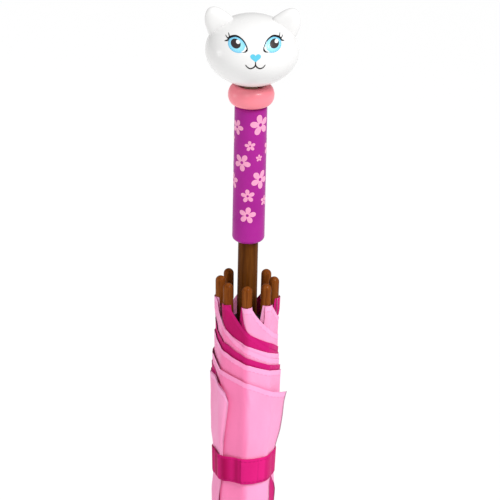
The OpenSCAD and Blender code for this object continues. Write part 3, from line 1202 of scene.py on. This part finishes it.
def stroke(path, widths, lift):
    """A black brush stroke along a smooth path on the face; widths are at its points."""
    fine = []
    thick = []
    ends = [path[0]] + list(path) + [path[-1]]
    for i in range(len(path) - 1):
        for step in range(STROKE_STEPS + (1 if i == len(path) - 2 else 0)):
            t = step / STROKE_STEPS
            fine.append(curve_point(*ends[i:i + 4], t))
            thick.append(widths[i] + (widths[i + 1] - widths[i]) * t)
    points = []
    for i, (x, z) in enumerate(fine):
        before = fine[max(0, i - 1)]
        after = fine[min(len(fine) - 1, i + 1)]
        along = Vector((after[0] - before[0], after[1] - before[1])).normalized()
        side = Vector((-along.y, along.x)) * thick[i] / 2
        points += [on_face(x + side.x * share, z + side.y * share, lift) for share in (-1.0, 0.0, 1.0)]
    return points, grid_faces(len(fine), 3), [(0, 0)] * len(points), BLACK_PAINT


# The eye's parts from its centre, in millimetres with x counted outwards, before EYE_SCALE
EYE_X = 10.3
EYE_Z = 10.1
EYE_SCALE = 0.93
EYE_WHITE = ((-2.2, -3.3), (-3.9, -2.2), (-4.9, -0.2), (-5.5, -0.9), (-5.5, -2.3), (-4.3, -3.1))
LID = ((5.7, 1.3), (4.2, 3.2), (0.4, 4.35), (-3.0, 3.2), (-5.0, 1.0), (-5.9, -1.0), (-5.8, -2.4))
LID_WIDTHS = (0.6, 0.9, 0.8, 0.65, 0.55, 0.6, 0.85)
EYE_CORNER = ((-5.8, -2.1), (-4.9, -3.1), (-3.1, -3.5))
CORNER_WIDTHS = (1.1, 0.7, 0.2)
LASHES = (((5.5, 1.6), (7.4, 0.9)), ((5.0, 2.3), (6.7, 3.6)), ((4.0, 3.1), (4.9, 5.0)))
LASH_WIDTHS = (0.7, 0.5, 0.25)


def make_eye(side, name):
    """One painted eye; side is -1 at -X. The lashes are on the outer side, the corner on the inner."""
    centre = (side * EYE_X, EYE_Z)

    def place(x, z):
        """A point of the eye on the face."""
        return (centre[0] + side * x * EYE_SCALE, centre[1] + z * EYE_SCALE)

    pupil = place(0.9, 0.6)
    shine = (pupil[0] + 1.3, pupil[1] + 1.0)
    white = [place(x, z) for x, z in EYE_WHITE]
    middle = tuple(sum(values) / len(white) for values in zip(*white))
    rim = closed_curve([(x - middle[0], z - middle[1]) for x, z in white], 4)
    parts = [
        face_patch(centre, ellipse(5.15, 3.85), 0.05 * MM, IRIS),
        face_patch(pupil, ellipse(2.75, 2.3), 0.11 * MM, PUPIL_PAINT),
        face_patch(shine, ellipse(1.1, 0.95), 0.14 * MM, WHITE_PAINT),
        face_patch(middle, rim, 0.08 * MM, WHITE_PAINT),
        stroke([place(*point) for point in LID], LID_WIDTHS, 0.16 * MM),
        stroke([place(*point) for point in EYE_CORNER], CORNER_WIDTHS, 0.165 * MM),
    ]
    for root, tip in LASHES:
        bend = ((root[0] + tip[0]) / 2 + 0.1, (root[1] + tip[1]) / 2 - 0.1)
        parts.append(stroke([place(*root), place(*bend), place(*tip)], LASH_WIDTHS, 0.17 * MM))
    carry(merge(name, parts))


NOSE_PLACE = (0.0, 4.1)
NOSE_HALF_WIDTH = 3.1
NOSE_HALF_HEIGHT = 2.5
STEM = ((0, 1.8), (0, 0.9), (0, -0.4))
STEM_WIDTHS = (0.5, 0.6, 0.7)
LIP = ((0.0, -0.2), (1.1, -1.6), (2.9, -2.3), (4.6, -1.5), (5.7, -0.1))
LIP_WIDTHS = (0.75, 0.8, 0.75, 0.65, 0.45)


def heart_point(angle):
    """A point of a heart curve, scaled to the nose."""
    x = math.sin(angle) ** 3
    z = (13 * math.cos(angle) - 5 * math.cos(2 * angle) - 2 * math.cos(3 * angle) - math.cos(4 * angle)) / 15
    return (x * NOSE_HALF_WIDTH, z * NOSE_HALF_HEIGHT)


def make_nose_and_mouth():
    """A heart-shaped nose and a thin curved mouth."""
    heart = [heart_point(math.tau * i / 64) for i in range(64)]
    parts = [face_patch(NOSE_PLACE, heart, 0.06 * MM, NOSE_PAINT), stroke(STEM, STEM_WIDTHS, 0.07 * MM)]
    for side in (-1, 1):
        parts.append(stroke([(side * x, z) for x, z in LIP], LIP_WIDTHS, 0.08 * MM))
    carry(merge("nose_and_mouth", parts))


# ---- CAD nodes that stay

NODE_MATERIALS = {
    SHAFT_WOOD: ["shaft"],
    TIP_WOOD: ["ferrule", "top_cap"],
    BARE_WOOD: ["neck_dowel"],
    FITTING_PLASTIC: ["crown", "runner"],
    BRIGHT_STEEL: ["crown_wire", "runner_wire", "stop_pin", "catch_pins", "top_catch", "bottom_catch"],
}
RIB_MATERIALS = {"rib": FRAME_STEEL, "stretcher": FRAME_STEEL, "rivet": BRIGHT_STEEL, "rib_tip": TIP_WOOD}


def dress(node, material):
    """Gives a CAD node that stays its material."""
    data = frame["nodes"][node].data
    data.materials.clear()
    data.materials.append(material)


def dress_nodes():
    """Dresses every CAD node that no piece replaces."""
    for material, nodes in NODE_MATERIALS.items():
        for node in nodes:
            dress(node, material)
    for kind, material in RIB_MATERIALS.items():
        for k in range(1, RIBS + 1):
            dress("%s_%d" % (kind, k), material)


make_floor()
make_lights()
make_camera()
dress_nodes()
roll = make_canopy()
make_canopy_centre()
make_strap(roll)
make_handle()
make_flowers()
make_collar()
make_head()
make_ear(-1, "cat_ear_left", "ear_left")
make_ear(1, "cat_ear_right", "ear_right")
make_eye(-1, "eye_left")
make_eye(1, "eye_right")
make_nose_and_mouth()
